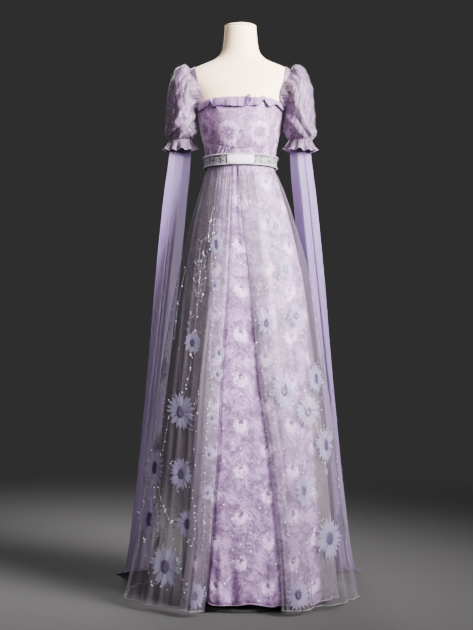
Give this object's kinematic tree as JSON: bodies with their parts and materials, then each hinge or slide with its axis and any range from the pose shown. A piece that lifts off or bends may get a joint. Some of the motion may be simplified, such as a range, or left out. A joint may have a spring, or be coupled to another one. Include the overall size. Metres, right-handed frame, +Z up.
{
  "type": "evening dress on a dress form",
  "caption": "Floor-length empire-line evening dress with puff sleeves, hanging chiffon streamers, silver belt and sheer overskirt, on a limbless dress form.",
  "frame": {"origin": "middle of the flat underside of the dress form's base", "axes": "+Z up, -Y the front of the dress, +X the viewer's right seen from the front"},
  "size_m": [0.768, 0.6296, 1.6133],
  "materials": {
    "form": "ivory, tightly covered",
    "stand_metal": "satin grey",
    "brocade": "lilac brocade with a paler woven flower pattern",
    "chiffon": "plain lilac chiffon",
    "lace": "mauve ground with pale pink-white flower clusters",
    "organza": "sheer grey-lilac organza with flower appliques and beads",
    "silver_cloth": "silver-grey, beaded",
    "satin": "silver-white satin",
    "silver_cord": "twisted metallic cord and beads",
    "zip_metal": "small metal zip"
  },
  "bodies": {
    "root": {"form_torso": "form", "form_neck_cap": "form", "form_pole": "stand_metal", "form_base": "stand_metal", "bodice_front": "brocade", "bodice_back_left": "brocade", "bodice_back_right": "brocade", "midriff_front": "brocade", "midriff_back_left": "brocade", "midriff_back_right": "brocade", "strap_left": "brocade", "strap_right": "brocade", "neckline_ruffle": "chiffon", "belt_band": "silver_cloth", "belt_plaque": "satin", "belt_cord_top": "silver_cord", "belt_cord_bottom": "silver_cord", "sleeve_left": "brocade", "sleeve_right": "brocade", "cuff_frill_left": "chiffon", "cuff_frill_right": "chiffon", "streamer_left": "chiffon", "streamer_right": "chiffon", "overskirt_front_left": "organza", "overskirt_front_right": "organza", "overskirt_back_left": "organza", "overskirt_back_right": "organza", "underskirt_front": "lace", "underskirt_back_left": "lace", "underskirt_back_right": "lace", "zip_chain": "zip_metal", "zip_slider": "zip_metal"},
    "zip_pull": {"zip_pull": "zip_metal"}
  },
  "joints": [
    {"name": "zip_pull_hinge", "type": "hinge", "parent": "root", "child": "zip_pull", "pos_m": [0, 0.10483, 1.374], "axis": [1, 0, 0], "range_deg": [0, 165]}
  ]
}
